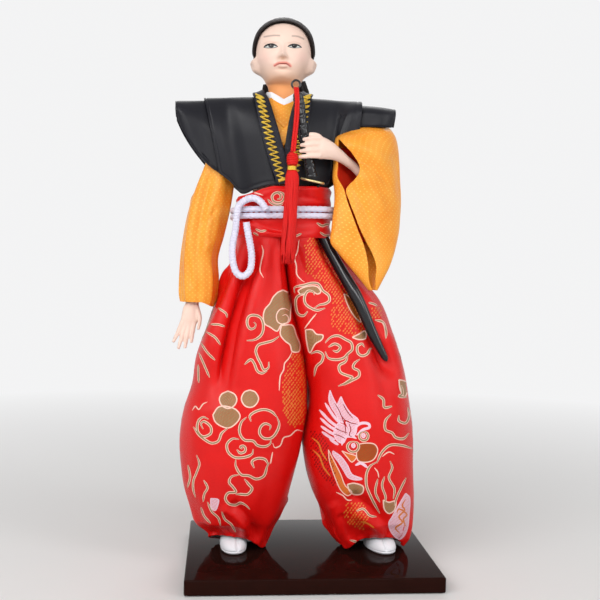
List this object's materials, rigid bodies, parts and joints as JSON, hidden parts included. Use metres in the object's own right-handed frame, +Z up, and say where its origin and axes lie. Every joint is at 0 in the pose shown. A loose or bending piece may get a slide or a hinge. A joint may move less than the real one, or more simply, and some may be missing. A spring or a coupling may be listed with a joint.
{
  "type": "samurai doll",
  "caption": "Standing samurai doll in brocade trousers, winged over-vest and bag sleeves, hand on a sheathed sword, fixed to a flat lacquered board.",
  "frame": {"origin": "centre of the board's underside", "axes": "+Z up, the doll faces -Y, +X to the viewer's right as the doll is faced, which is the doll's left"},
  "size_m": [0.1416, 0.112, 0.2982],
  "materials": {
    "lacquer": "black-brown gloss lacquer",
    "red_brocade": "red satin brocade with gold thread",
    "yellow_satin": "yellow-orange satin with a small woven figure",
    "red_lining": "plain red lining cloth",
    "black_satin": "stiff black satin",
    "black_velvet": "black velvet with small glints",
    "gold_braid": "gold lurex braid",
    "white_cord": "braided white cord",
    "white_cotton": "matt white cotton",
    "skin": "moulded, painted skin tone, satin",
    "hair": "combed black synthetic hair",
    "red_cord": "red twisted thread",
    "black_gloss": "gloss black",
    "gilt": "gilt coating",
    "wire": "plain wire",
    "stuffing": "padded trunk"
  },
  "bodies": {
    "root": {"base_plinth": "lacquer", "right_foot": "white_cotton", "left_foot": "white_cotton", "torso_core": "stuffing", "hakama_right_leg": "red_brocade", "hakama_left_leg": "red_brocade", "kimono_bodice": "yellow_satin", "under_collar": "white_cotton", "head": "skin", "hair_cap": "hair", "hair_tail": "hair", "right_vest_panel": "black_satin", "right_vest_wing": "black_satin", "left_vest_panel": "black_satin", "left_vest_wing": "black_satin", "right_lapel": "black_velvet", "left_lapel": "black_velvet", "right_lapel_braid": "gold_braid", "left_lapel_braid": "gold_braid", "right_sleeve": "yellow_satin", "right_sleeve_lining": "red_lining", "right_arm_wire": "wire", "right_hand": "skin", "left_sleeve": "yellow_satin", "left_sleeve_lining": "red_lining", "left_arm_wire": "wire", "left_hand": "skin", "obi_sash": "red_brocade", "waist_cord_upper": "white_cord", "waist_cord_lower": "white_cord", "waist_cord_loop": "white_cord", "sword_hilt": "black_gloss", "sword_guard": "gilt", "scabbard": "black_gloss", "pommel_ring": "black_gloss", "tassel_cord": "red_cord", "tassel_knot": "red_cord", "tassel_band": "gold_braid", "tassel_skirt": "red_cord"}
  },
  "joints": []
}
